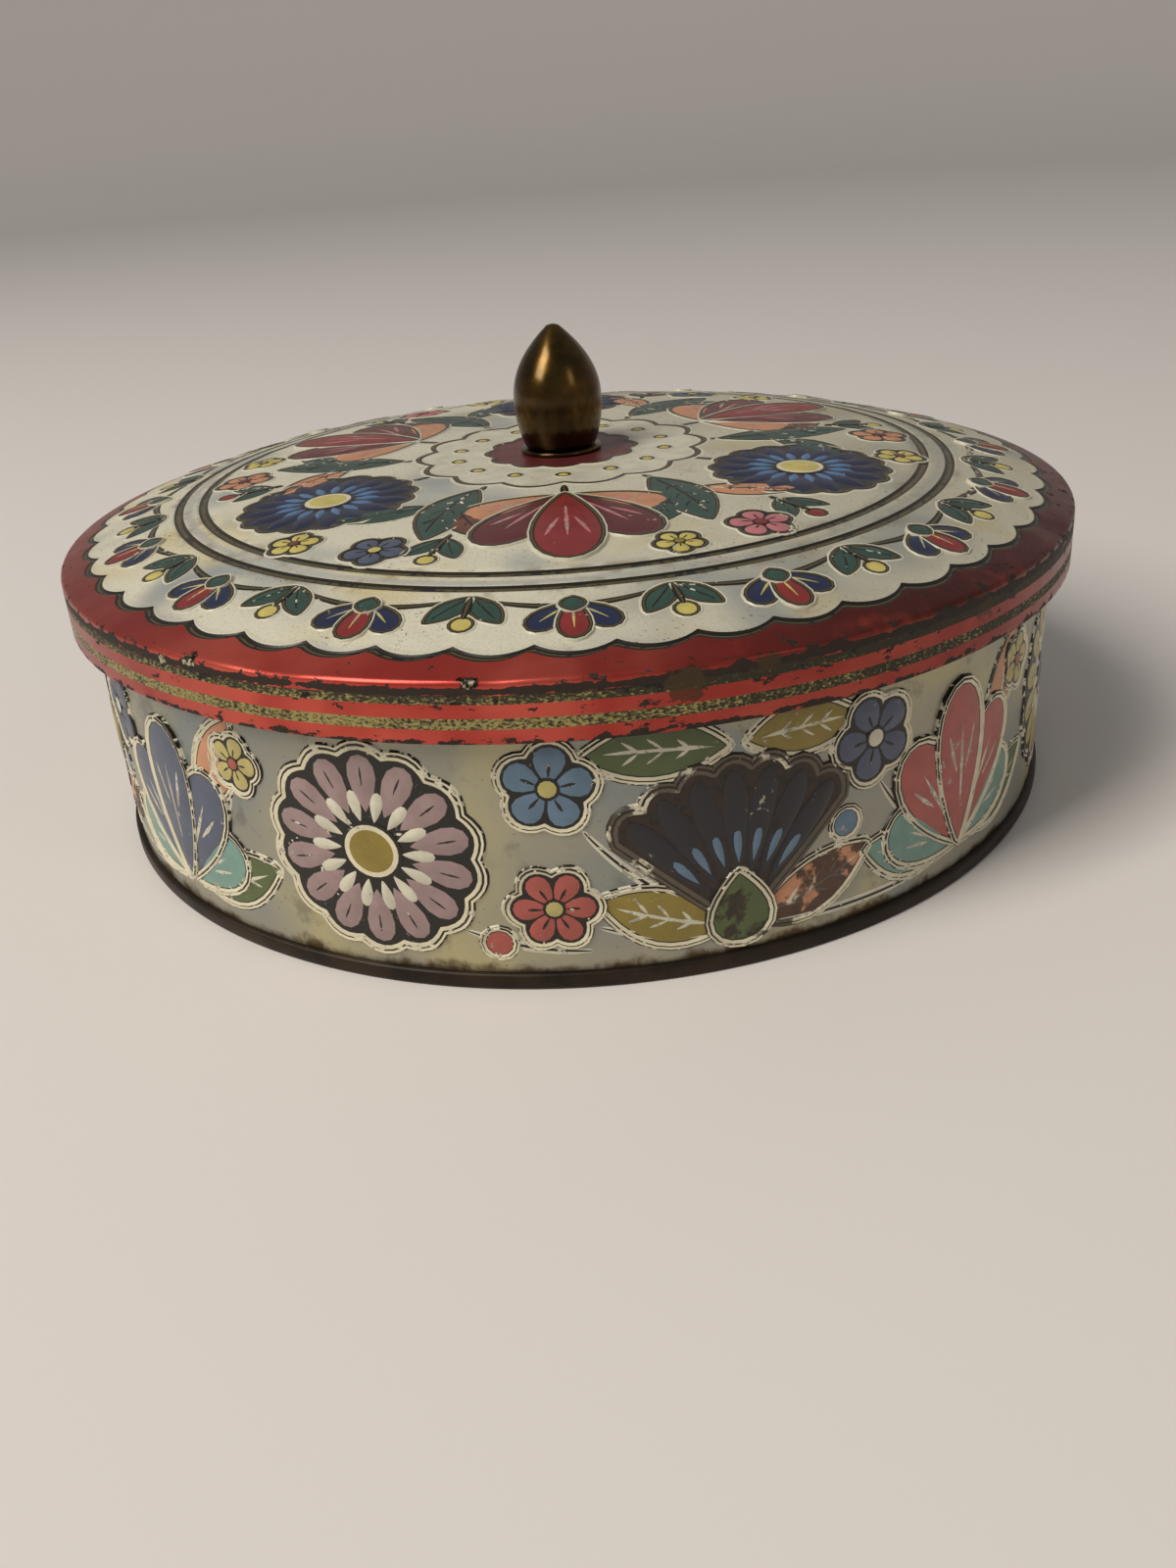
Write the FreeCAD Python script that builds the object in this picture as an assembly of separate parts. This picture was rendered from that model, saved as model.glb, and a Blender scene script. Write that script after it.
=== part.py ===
import FreeCAD, Part
import math
import os

# A round slip-lid tin for bobbins and small sewing notions. A rolled wall is double seamed to a recessed
# base, and a domed lid with a screwed-on knob drops over the beaded mouth.
# Millimetres, +Z up, origin at the centre of the plane that the tin stands on.

# Tinplate
tin = 0.30                      # sheet thickness of the wall, the base and the lid
fold_gap = 0.08                 # space left between the layers of a fold

# Wall
wall_radius = 97.4              # outside of the wall
body_height = 56.3              # standing plane to the top of the mouth bead
bead_radius = 1.7               # edge of the mouth, rolled tight outwards
bead_sides = 8                  # flats round the bead's section
lock_seam_width = 4.5           # folded side seam, pressed flat on the inside at the back
lock_seam_line = 0.25           # width of the hairline that the side seam leaves outside
lock_seam_margin = 1.0          # the side seam stops this far from the base and from the bead

# Base and its double seam
seam_height = 2.9               # seam round the foot, from the standing plane to its top
base_recess = 3.4               # standing plane to the underside of the base panel

# Lid
lid_play = 0.50                 # radial clearance between the mouth bead and the lid's hem
lid_rest_gap = 0.25             # between the mouth bead and the underside of the lid
skirt_depth = 10.1              # rim to the lower edge of the skirt
hem_height = 3.0                # skirt edge turned back up on the inside
rim_bevel = 0.8                 # rounding of the rim, on the sheet's centre line
crown_rise = 9.9                # rim to the level seat in the middle
crown_power = 3.7               # a higher power gives a flatter top and a rounder shoulder
crown_bends = [0.56, 0.72, 0.83, 0.92]    # where the crown's slope changes, as shares of its radius
seat_radius = 36.0              # level middle of the crown

# Knob and its fastening
knob_radius = 9.0               # widest part
knob_base_radius = 7.15
knob_tip_radius = 0.5           # small blunt end
knob_height = 23.9              # collar to tip
knob_widest_height = 11.5       # collar to the widest part
knob_wall = 0.6                 # round the foot
knob_bends = 7                  # straight runs from the knob's foot to its tip
bush_length = 8.0
bush_clearance = 0.05           # radial, bush in the throat of the knob
collar_radius = 8.3
collar_height = 1.1
collar_bevel = 0.3
screw_radius = 2.0
screw_engagement = 6.0          # length of screw inside the bush
thread_clearance = 0.05         # radial, screw in the bush
screw_hole_clearance = 0.25     # radial, screw in the lid, the collar and the washer
screw_head_radius = 3.8
screw_head_height = 2.3
screw_slot_width = 1.0
screw_slot_depth = 1.1
washer_radius = 5.5
washer_height = 0.8

# Sizes that follow from the ones above
half = tin / 2
layer = tin + fold_gap
wall_mid = wall_radius - half
bead_centre_radius = wall_radius - tin + bead_radius
bead_centre_height = body_height - bead_radius
lid_mid = bead_centre_radius + bead_radius + lid_play + tin + half
hole_radius = screw_radius + screw_hole_clearance
knob_throat = knob_base_radius - knob_wall


def at(radius, height):
    """A point of a section, drawn in the plane y = 0."""
    return FreeCAD.Vector(radius, 0, height)


def spin(corners):
    """Solid of a closed section, given by its corners, turned once round the tin's axis."""
    outline = Part.makePolygon(corners + corners[:1])
    return Part.Face(outline).revolve(FreeCAD.Vector(0, 0, 0), FreeCAD.Vector(0, 0, 1), 360)


def moved_sideways(path, offset):
    """The bent line through path, moved to its left by offset, with mitred corners."""
    points = [at(radius, height) for radius, height in path]
    runs = [(end - start).normalize() for start, end in zip(points, points[1:])]
    normals = [FreeCAD.Vector(-run.z, 0, run.x) for run in runs]
    moved = [points[0] + normals[0] * offset]
    for corner, before, after in zip(points[1:], normals, normals[1:]):
        moved.append(corner + (before + after) * (offset / (1 + before.dot(after))))
    moved.append(points[-1] + normals[-1] * offset)
    return moved


def sheet_ring(path):
    """A tinplate sheet folded along path, (radius, height) points on the centre of its thickness."""
    return spin(moved_sideways(path, half) + moved_sideways(path, -half)[::-1])


def disc(radius, low, high):
    return Part.makeCylinder(radius, high - low, FreeCAD.Vector(0, 0, low))


def body_wall():
    """Rolled wall: hooked into the base seam below, beaded outwards at the mouth, lock seamed at the back."""
    fold_mid = layer + half
    hook_mid = wall_mid + 2 * layer
    wall = sheet_ring([
        (hook_mid, seam_height - layer),
        (hook_mid, fold_mid),
        (wall_mid, fold_mid),
        (wall_mid, bead_centre_height),
    ])
    turns = [2 * math.pi * side / bead_sides for side in range(bead_sides)]
    bead = spin([
        at(bead_centre_radius + bead_radius * math.cos(turn), bead_centre_height + bead_radius * math.sin(turn))
        for turn in turns
    ])
    inside = wall_radius - tin
    low = base_recess + tin + lock_seam_margin
    high = bead_centre_height - bead_radius - lock_seam_margin
    seam_back = FreeCAD.Vector(-lock_seam_width / 2, 0, low)
    seam_slice = Part.makeBox(lock_seam_width, wall_radius, high - low, seam_back)
    seam = disc(inside + half, low, high).cut(disc(inside - 2 * tin, low, high)).common(seam_slice)
    line_corner = FreeCAD.Vector(lock_seam_width / 2, wall_radius - half, low)
    line = Part.makeBox(lock_seam_line, tin, high - low, line_corner)
    return wall.fuse([bead, seam]).cut(line).removeSplitter()


def base_plate():
    """Recessed base. Its edge runs down inside the wall, under it, up outside and in over the wall's hook."""
    panel_mid = base_recess + half
    inner_mid = wall_mid - layer
    cover_mid = wall_mid + layer
    outer_mid = wall_mid + 3 * layer
    return sheet_ring([
        (0, panel_mid),
        (inner_mid, panel_mid),
        (inner_mid, half),
        (outer_mid, half),
        (outer_mid, seam_height - half),
        (cover_mid, seam_height - half),
        (cover_mid, 2 * layer),
    ])


def crown_height(share):
    """Height of the crown above the rim, at a share of the lid's radius: flat on top, falling to the rim."""
    return crown_rise * (1 - share ** crown_power)


def rim_height():
    """Height of the rim, on the sheet's centre, with the lid's last slope just clear of the mouth bead."""
    share = crown_bends[-1]
    slope = math.atan2(crown_height(share), lid_mid * (1 - share))
    reach = bead_radius + lid_rest_gap + half
    over_radius = bead_centre_radius + reach * math.sin(slope)
    over_height = bead_centre_height + reach * math.cos(slope)
    return over_height - (lid_mid - over_radius) * math.tan(slope)


def lid_shell(rim):
    """Domed lid with a straight skirt, whose lower edge is hemmed flat on the inside."""
    crown = [(lid_mid * share, rim + crown_height(share)) for share in crown_bends]
    last_radius, last_height = crown[-1]
    bevel_height = rim + (last_height - rim) * rim_bevel / (lid_mid - last_radius)
    skirt_low = rim + half - skirt_depth
    sheet = sheet_ring([
        (hole_radius, rim + crown_rise),
        (seat_radius, rim + crown_rise),
        *crown,
        (lid_mid - rim_bevel, bevel_height),
        (lid_mid, rim - rim_bevel),
        (lid_mid, skirt_low),
    ])
    hem_top = skirt_low + hem_height
    hem = disc(lid_mid, skirt_low, hem_top).cut(disc(lid_mid - half - tin, skirt_low, hem_top))
    return sheet.fuse(hem).removeSplitter()


def knob_outline(base):
    """Points up the ogive of the knob: two arcs that meet upright at its widest part."""
    rise = knob_height - knob_widest_height
    fall = knob_radius - knob_base_radius
    taper = knob_radius - knob_tip_radius
    upper = (taper ** 2 + rise ** 2) / (2 * taper)
    lower = (fall ** 2 + knob_widest_height ** 2) / (2 * fall)
    points = []
    for step in range(knob_bends + 1):
        height = knob_height * math.sin(math.pi / 2 * step / knob_bends)
        above = height - knob_widest_height
        arc = upper if above > 0 else lower
        points.append(at(knob_radius - arc + math.sqrt(arc ** 2 - above ** 2), base + height))
    return points


def knob_shell(base):
    """Knob, hollow from below up to its widest part."""
    solid = spin([at(0, base), *knob_outline(base), at(0, base + knob_height)])
    return solid.cut(disc(knob_throat, base, base + knob_widest_height))


def knob_bush(base):
    """Tapped plug in the throat of the knob."""
    plug = disc(knob_throat - bush_clearance, base, base + bush_length)
    return plug.cut(disc(screw_radius + thread_clearance, base, base + bush_length))


def knob_collar(seat):
    """Ring with bevelled edges between the knob and the lid."""
    top = seat + collar_height
    return spin([
        at(hole_radius, seat),
        at(collar_radius, seat),
        at(collar_radius, top - collar_bevel),
        at(collar_radius - collar_bevel, top),
        at(hole_radius, top),
    ])


def screw_washer(low, high):
    """Flat washer between the screw's head and the underside of the lid."""
    return disc(washer_radius, low, high).cut(disc(hole_radius, low, high))


def knob_screw(head_top, shank_top):
    """Slotted screw, put in from inside the lid."""
    head_low = head_top - screw_head_height
    slot_corner = FreeCAD.Vector(-screw_head_radius, -screw_slot_width / 2, head_low)
    slot = Part.makeBox(2 * screw_head_radius, screw_slot_width, screw_slot_depth, slot_corner)
    head = disc(screw_head_radius, head_low, head_top).cut(slot)
    return head.fuse(disc(screw_radius, head_top, shank_top))


def main():
    rim = rim_height()
    seat = rim + crown_rise + half
    washer_low = seat - tin - washer_height
    knob_foot = seat + collar_height
    pieces = {
        "body_wall": body_wall(),
        "base_plate": base_plate(),
        "lid_shell": lid_shell(rim),
        "knob_shell": knob_shell(knob_foot),
        "knob_bush": knob_bush(knob_foot),
        "knob_collar": knob_collar(seat),
        "knob_screw": knob_screw(washer_low, knob_foot + screw_engagement),
        "screw_washer": screw_washer(washer_low, seat - tin),
    }
    os.makedirs("parts", exist_ok=True)
    for name, shape in pieces.items():
        shape.exportStep(os.path.join("parts", name + ".step"))
        box = shape.BoundBox
        print(f"{name}: {len(shape.Solids)} solid, {shape.Volume:.1f} mm3, valid {shape.isValid()},"
              f" radius {box.XMax:.2f}, height {box.ZMin:.2f} to {box.ZMax:.2f}")


main()
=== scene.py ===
# %% [markdown]
# # A round printed tin for bobbins
# The packed construction model is the fixed frame: it says where every sheet, bead and knob lies. This
# lesson dresses it. Sheets are worked out again as fine surfaces, and the embossed print is laid on them as
# relief.

# %% Load the frame
import math

import bpy
import numpy as np
from mathutils import Matrix, Vector


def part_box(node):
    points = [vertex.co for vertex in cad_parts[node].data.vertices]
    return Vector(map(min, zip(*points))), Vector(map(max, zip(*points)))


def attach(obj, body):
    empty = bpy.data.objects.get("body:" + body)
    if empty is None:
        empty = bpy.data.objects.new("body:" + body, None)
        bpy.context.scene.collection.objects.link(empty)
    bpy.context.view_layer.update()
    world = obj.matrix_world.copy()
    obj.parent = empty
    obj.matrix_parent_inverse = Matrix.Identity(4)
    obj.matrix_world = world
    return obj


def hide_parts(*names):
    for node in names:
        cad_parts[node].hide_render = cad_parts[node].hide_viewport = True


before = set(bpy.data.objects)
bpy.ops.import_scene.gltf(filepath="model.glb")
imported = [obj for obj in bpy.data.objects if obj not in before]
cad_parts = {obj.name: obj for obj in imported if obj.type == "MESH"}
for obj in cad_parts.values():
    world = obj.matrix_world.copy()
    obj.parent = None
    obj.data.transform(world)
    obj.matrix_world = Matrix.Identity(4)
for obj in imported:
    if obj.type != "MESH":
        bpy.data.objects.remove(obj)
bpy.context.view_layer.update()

MM = 0.001
print("nodes in the frame:", sorted(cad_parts))

# %% [markdown]
# ## Sizes
# A size that the frame already holds is read from it, so the two can't drift apart. What a box can't tell,
# such as the sheet's thickness, is a named value. Everything below is in millimetres until a mesh is made.

# %% Sizes read from the frame


def reach(node):
    """Outer radius, lowest and highest point of a round node, in millimetres."""
    low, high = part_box(node)
    return high.x / MM, low.z / MM, high.z / MM


lid_radius, skirt_low, seat_height = reach("lid_shell")
bead_reach, wall_low, mouth_height = reach("body_wall")
seam_radius, _, panel_top = reach("base_plate")
knob_reach, knob_foot, knob_tip = reach("knob_shell")
collar_radius, collar_low, collar_high = reach("knob_collar")
tin = 0.30  # thickness of the sheets
wall_radius = 97.4  # outside of the wall
crown_rise = 9.9  # rim to the level middle of the lid
crown_power = 3.7  # a higher power gives a flatter top and a rounder shoulder
field_ring = 72.84  # ring line round the field of flowers
border_ring = 77.75  # ring line inside the border
hole_radius = 2.25  # screw hole in the lid
rim_top = seat_height - crown_rise
print(f"lid {2 * lid_radius:.1f} mm across, tin {knob_tip:.1f} mm tall")

# %% [markdown]
# ## A mesh from a grid
# A surface here is an array of points, rows by columns. Neighbouring points are joined by quads. Where a
# whole row is one point, as at the tip of the knob, the quads shrink to triangles, so the pole is closed.
# Every part is a closed shell, so its signed volume tells whether its faces look outwards.

# %% Weave a grid into a closed shell


def weave(points, close_rows=False):
    """Joins a grid of points to a closed shell. Columns always wrap round.
    Returns the points, the quads, and the row and column that each quad starts from."""
    rows, columns = points.shape[:2]
    index = np.arange(rows * columns).reshape(rows, columns)
    poles = np.ptp(points, axis=1).max(axis=1) < 1e-9
    index[poles] = index[poles][:, :1]
    if close_rows:
        index = np.vstack([index, index[:1]])
    index = np.hstack([index, index[:, :1]])
    quads = np.stack([index[:-1, :-1], index[:-1, 1:], index[1:, 1:], index[1:, :-1]], axis=-1)
    row, column = np.indices(quads.shape[:2])
    quads = quads.reshape(-1, 4)
    flat = points.reshape(-1, 3)
    corners = flat[quads]
    fans = np.einsum("ij,ij->i", corners[:, 0], np.cross(corners[:, 1], corners[:, 2]))
    fans = fans + np.einsum("ij,ij->i", corners[:, 0], np.cross(corners[:, 2], corners[:, 3]))
    if fans.sum() < 0:
        quads = quads[:, ::-1]
    return flat, quads, row.ravel(), column.ravel()


def spun(rows, angles):
    """Rows of (radius, height), each a number or one value per angle, turned round the axis into points."""
    radius = np.array([np.broadcast_to(wide, angles.shape) for wide, _ in rows])
    height = np.array([np.broadcast_to(level, angles.shape) for _, level in rows])
    return np.stack([radius * np.cos(angles), radius * np.sin(angles), height], axis=-1)


def arc(radius, height, size, angles):
    """Rows on a circle of that size round (radius, height), one for each angle."""
    return [(radius + size * math.cos(angle), height + size * math.sin(angle)) for angle in angles]


ball = weave(spun(arc(0, 0, 1, np.linspace(-np.pi / 2, np.pi / 2, 9)), np.arange(12) * np.pi / 6))
print("a small ball has", len(ball[1]), "faces")

# %% [markdown]
# ## From shells to a piece
# A piece is one object of one or more shells, and it rides a body of the frame. Its faces carry labels.
# Reading them in the material is lighter than a picture, and the colours stay sharp however near the camera
# comes.

# %% Make a piece
FACE_VALUES = {"tint": "FLOAT_COLOR", "under": "FLOAT_COLOR", "flake": "FLOAT", "rust": "FLOAT"}


def make_mesh(name, shells, sharp):
    """One smooth mesh from shells of (points, quads, labels). A quad with a repeated corner becomes a
    triangle, and edges that bend by more than sharp, in degrees, stay crisp."""
    starts = np.cumsum([0] + [len(points) for points, _, _ in shells])
    vertices = np.concatenate([points for points, _, _ in shells]) * MM
    quads = np.concatenate([quads + start for (_, quads, _), start in zip(shells, starts)])
    used, compact = np.unique(quads, return_inverse=True)
    quads = compact.reshape(-1, 4)
    repeated = quads == np.roll(quads, -1, axis=1)
    thin = repeated.any(axis=1)
    order = np.concatenate([np.flatnonzero(~thin), np.flatnonzero(thin)])
    loops = np.concatenate([quads[~thin].ravel(), quads[thin][~repeated[thin]]])
    sides = np.where(thin[order], 3, 4)

    def labelled(key):
        """One label of all the shells, or 0, in the order of the mesh's faces."""
        values = [labels.get(key, np.zeros(len(quads))) for _, quads, labels in shells]
        return np.concatenate(values)[order]

    mesh = bpy.data.meshes.new(name)
    mesh.vertices.add(len(used))
    mesh.vertices.foreach_set("co", vertices[used].astype(np.float32).ravel())
    mesh.loops.add(len(loops))
    mesh.loops.foreach_set("vertex_index", loops.astype(np.int32))
    mesh.polygons.add(len(sides))
    mesh.polygons.foreach_set("loop_start", (np.cumsum(sides) - sides).astype(np.int32))
    mesh.polygons.foreach_set("material_index", labelled("finish").astype(np.int32))
    mesh.update(calc_edges=True)
    for key, kind in FACE_VALUES.items():
        if all(key in labels for _, _, labels in shells):
            field = "color" if kind == "FLOAT_COLOR" else "value"
            values = labelled(key).astype(np.float32).ravel()
            mesh.attributes.new(key, kind, "FACE").data.foreach_set(field, values)
    mesh.shade_smooth()
    mesh.set_sharp_from_angle(angle=math.radians(sharp))
    return mesh


def add_piece(name, body, shells, finishes, replaces=(), sharp=40):
    """One object that rides a body. The finish label of a face picks one of the finishes."""
    mesh = make_mesh(name, shells, sharp)
    for material in finishes:
        mesh.materials.append(material)
    piece = bpy.data.objects.new(name, mesh)
    bpy.context.scene.collection.objects.link(piece)
    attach(piece, body)
    if replaces:
        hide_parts(*replaces)
    print(f"{name}: {len(shells)} shells, {len(mesh.loops) - 2 * len(mesh.polygons)} triangles")


print("values that a face can carry:", list(FACE_VALUES))

# %% [markdown]
# ## Colours
# A colour is written as it looks on a screen, from 0 to 255, and turned into the linear light that shaders
# work in. Typing the linear values would be shorter, but nobody can picture a colour from them.

# %% Colours


def paint(red, green, blue):
    """Screen colour to linear light: the usual curve, a straight start and then a power of 2.4."""
    screen = np.array([red, green, blue]) / 255
    light = np.where(screen <= 0.04045, screen / 12.92, ((screen + 0.055) / 1.055) ** 2.4)
    return (*light.tolist(), 1.0)


CREAM, CHALK, UNDERCOAT = paint(212, 207, 185), paint(222, 213, 182), paint(158, 152, 134)
INK, OLIVE, RUST, DUSK = paint(24, 20, 13), paint(88, 76, 36), paint(52, 33, 21), paint(34, 31, 36)
NAVY, AZURE, SKY, SLATE = paint(32, 40, 70), paint(86, 120, 158), paint(98, 124, 146), paint(80, 88, 108)
FOREST, MOSS, TEAL = paint(48, 76, 66), paint(84, 98, 54), paint(118, 154, 142)
CRIMSON, MAROON, CORAL, PINK = paint(134, 42, 40), paint(96, 38, 40), paint(172, 86, 76), paint(192, 116, 120)
SALMON, BROWN, MAUVE = paint(200, 140, 102), paint(112, 64, 46), paint(156, 132, 130)
GOLD, MUSTARD, BUTTER = paint(204, 188, 102), paint(142, 124, 52), paint(188, 174, 108)
print("cream in linear light:", [round(part, 3) for part in CREAM])

# %% [markdown]
# ## Sums in a node tree
# A finish is a tree of nodes: noise, sums and mixes that end in a shader. Wiring each node by hand would
# fill pages. Here what comes out of a node is a value that can be added, multiplied and compared, and each
# sum adds its own node, so a finish reads as a few lines of sums.

# %% Values


class Value:
    """What comes out of a node of a finish. Sums with it add nodes of their own."""

    def __init__(self, coat, socket):
        self.coat = coat
        self.socket = socket

    def maths(self, operation, other=0.0):
        """One operation on this value and another."""
        return self.coat.node("ShaderNodeMath", {0: self, 1: other}, operation=operation)

    def __add__(self, other):
        return self.maths("ADD", other)

    def __sub__(self, other):
        return self.maths("SUBTRACT", other)

    def __mul__(self, other):
        return self.maths("MULTIPLY", other)

    def __abs__(self):
        return self.maths("ABSOLUTE")

    def between(self, low, high):
        """0 at low and 1 at high, with a smooth step between them. Low may be the larger one."""
        inputs = {"Value": self, "From Min": low, "From Max": high}
        return self.coat.node("ShaderNodeMapRange", inputs, interpolation_type="SMOOTHSTEP")

    def blend(self, first, second):
        """The first number where this value is 0, the second where it is 1."""
        return self.coat.node("ShaderNodeMix", {0: self, 2: first, 3: second}, data_type="FLOAT")


print("what a value can do:", [name.strip("_") for name in vars(Value) if callable(vars(Value)[name])])

# %% [markdown]
# ## Grain and place
# Wear on a real tin depends on where it is: near an edge, low on the wall, and more of it on the right side.
# The right side also gets a painted shade. So a finish asks for its place in the object's own space, which
# moves with the piece, and breaks the answer up with noise.

# %% Finish


class Finish:
    """A material that knows its place on the tin."""

    def __init__(self, name):
        self.material = bpy.data.materials.new(name)
        self.material.use_nodes = True
        self.tree = self.material.node_tree
        self.shader = self.tree.nodes["Principled BSDF"]

    def fill(self, socket, value):
        """Links a socket to a value, or sets it to a plain number or colour."""
        if isinstance(value, Value):
            self.tree.links.new(value.socket, socket)
        else:
            socket.default_value = value

    def node(self, kind, inputs=(), output=0, **settings):
        """Adds a node, sets its options, fills its inputs and hands on one of its outputs."""
        made = self.tree.nodes.new(kind)
        for key, value in settings.items():
            setattr(made, key, value)
        for key, value in dict(inputs).items():
            self.fill(made.inputs[key], value)
        return Value(self, made.outputs[output])

    def place(self):
        """The point itself, in metres."""
        return self.node("ShaderNodeTexCoord", output="Object")

    def along(self, axis):
        """The point's place along an axis: 0 to the right, 1 to the back, 2 up."""
        return self.node("ShaderNodeSeparateXYZ", {0: self.place()}, axis)

    def radius(self):
        """The point's distance from the tin's axis."""
        x, y = self.along(0), self.along(1)
        return (x * x + y * y).maths("SQRT")

    def grain(self, scale, detail=3.0, offset=0.0, stretch=(1, 1, 1)):
        """Cloudy noise in the object's own space, with scale in features per metre."""
        inputs = {"Vector": self.place(), "Scale": stretch, "Location": (offset, offset, offset)}
        moved = self.node("ShaderNodeMapping", inputs)
        inputs = {"Vector": moved, "Scale": scale, "Detail": detail, "Roughness": 0.6}
        return self.node("ShaderNodeTexNoise", inputs)

    def mix(self, factor, first, second):
        """The first colour where factor is 0, the second where it is 1."""
        return self.node("ShaderNodeMix", {0: factor, 6: first, 7: second}, 2, data_type="RGBA")

    def blotched(self, colour, tone, low, high, scale, detail, offset=0.0, share=1.0):
        """The colour, with up to that share of the tone where a grain rises from low to high."""
        where = self.grain(scale, detail, offset).between(low, high)
        return self.mix(where * share, colour, tone)

    def carried(self, name, output="Fac"):
        """A value that the faces carry."""
        return self.node("ShaderNodeAttribute", output=output, attribute_name=name)

    def bump(self, height, depth, strength):
        """Fine relief of that depth, in millimetres."""
        inputs = {"Height": height, "Distance": depth * MM, "Strength": strength}
        self.fill(self.shader.inputs["Normal"], self.node("ShaderNodeBump", inputs))

    def look(self, **values):
        """Fills the shader's inputs, base_color for Base Color and so on, and returns the material."""
        for key, value in values.items():
            self.fill(self.shader.inputs[key.replace("_", " ").title()], value)
        return self.material


def right_shade_and_wear(coat):
    """0 on the left of the tin and 1 on the right: there a painted shade darkens the print, for the side away
    from the broad lamp, and wear is heavier too.
    """
    return coat.along(0).between(-25 * MM, 60 * MM)


def side_shade(coat):
    """0 at the front and the back of the tin and 1 at its left and right: a painted shade that darkens the
    red on the sides that turn away.
    """
    return abs(coat.along(0)).between(45 * MM, 98 * MM)


print("what a finish can do:", [name for name in vars(Finish) if name[0] != "_"])

# %% [markdown]
# ## The grounds of the print
# The lid's ground is cream enamel with soft blue-grey clouds sprayed over it. The wall's ground is thinner,
# so the tin shows through as a silvery grey. A photograph would fix the wear to one view. Noise goes all
# the way round.

# %% Cream and silver grounds


def cream_ground():
    """Cream with clouds of grey and yellow. A greyer band runs between the ring lines and dirt lies along
    them. Specks, stipple, a painted shade on the right side and rubbed patches go over all of it."""
    coat = Finish("cream_ground")
    radius = coat.radius()
    colour = coat.blotched(CREAM, paint(148, 153, 152), 0.46, 0.72, 30, 2)
    colour = coat.blotched(colour, paint(200, 184, 136), 0.48, 0.78, 38, 2, 3.1)
    band = abs(radius - (field_ring + border_ring + 1.6) / 2 * MM)
    colour = coat.mix(band.between(1.5 * MM, 0.2 * MM), colour, paint(180, 179, 168))
    for line in (field_ring, border_ring):
        near = abs(radius - (line + 0.4) * MM).between(3.4 * MM, 0.8 * MM)
        dirt = near * 0.6 * coat.grain(210, 5, line).between(0.46, 0.66)
        colour = coat.mix(dirt, colour, paint(120, 106, 78))
    specks = coat.grain(1300, 3).between(0.62, 0.69) * coat.grain(60, 3, 1.7).between(0.44, 0.60)
    colour = coat.mix(specks, colour, paint(84, 68, 46))
    colour = coat.blotched(colour, paint(166, 156, 128), 0.46, 0.70, 2300, 2, 2.7, 0.35)
    # painted shade: the cream darkens towards the right side, away from the broad lamp
    colour = coat.mix(right_shade_and_wear(coat) * 0.38, colour, paint(124, 118, 96))
    colour = coat.blotched(colour, paint(150, 132, 98), 0.62, 0.74, 95, 6, 4.4, 0.45)
    coat.bump(coat.grain(900, 3), 0.05, 0.35)
    return coat.look(base_color=colour, roughness=coat.grain(180, 4).blend(0.26, 0.50))


def silver_ground():
    """Thin grey over tin, with clouds, stains, grime that thickens towards the foot, and specks."""
    coat = Finish("silver_ground")
    colour = coat.blotched(paint(158, 154, 137), paint(136, 141, 138), 0.44, 0.68, 24, 2)
    colour = coat.blotched(colour, paint(184, 175, 132), 0.46, 0.70, 30, 2, 5.3)
    colour = coat.blotched(colour, paint(98, 94, 82), 0.56, 0.70, 110, 5, 2.2, 0.5)
    grime = coat.along(2).between(7 * MM, 2.5 * MM) * 0.30 + coat.grain(150, 6, 6.6)
    colour = coat.mix(grime.between(0.66, 0.88), colour, paint(84, 66, 42))
    colour = coat.blotched(colour, paint(58, 46, 32), 0.69, 0.73, 1100, 3, 0.6)
    coat.bump(coat.grain(700, 3), 0.05, 0.35)
    return coat.look(base_color=colour, metallic=0.45, roughness=coat.grain(160, 4).blend(0.24, 0.52))


cream = cream_ground()
silver = silver_ground()
print("nodes in the cream and the silver:", len(cream.node_tree.nodes), len(silver.node_tree.nodes))

# %% [markdown]
# ## Red rim and gilt stripes
# The rim is a clear red lacquer straight on bright tin, so it has a metal's shine. It has worn through to
# dark rust along the bend of the rim and along the lower edge of the skirt, where hands take the lid off.
# Wear is worked out from the distance to those edges, so it follows them all the way round.

# %% Where the rim has worn
worn_line = rim_top - 1.55  # height of the line just under the rim's bend
# Chips and stains: bearing in degrees, how far below the rim, size.
chips_at = [(-99, 0.0, 1.5), (-127, 0.6, 1.6), (-131, 1.8, 1.2), (70, 0.3, 1.5)]
stains_at = [(-81, 2.6, 3.0), (-74, 1.4, 2.0), (-49, 3.0, 2.4), (130, 4.0, 3.0)]


def edge_wear(coat):
    """Nearness to the worn line under the rim's bend and to the skirt's lower edge: about 1 on them, and 0
    a few millimetres away."""
    height = coat.along(2)
    away = (coat.radius() - lid_radius * MM) * -0.9 + abs(height - worn_line * MM)
    bend = away.between(4.0 * MM, 0.4 * MM) * 0.6 + away.between(0.95 * MM, 0.25 * MM) * 1.3
    foot = height.between((skirt_low + 1.7) * MM, (skirt_low + 0.2) * MM)
    return bend.maths("MAXIMUM", foot * 1.05)


def spot(coat, bearing, below, size):
    """1 near a point of the skirt, and 0 beyond a ragged edge."""
    angle = math.radians(bearing)
    point = (lid_radius * MM * math.cos(angle), lid_radius * MM * math.sin(angle), (rim_top - below) * MM)
    away = coat.node("ShaderNodeVectorMath", {0: coat.place(), 1: point}, "Value", operation="DISTANCE")
    ragged = (coat.grain(500, 5, bearing) - 0.5) * (3 * size * MM)
    return (away + ragged).between(size * MM, size * 0.8 * MM)


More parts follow.
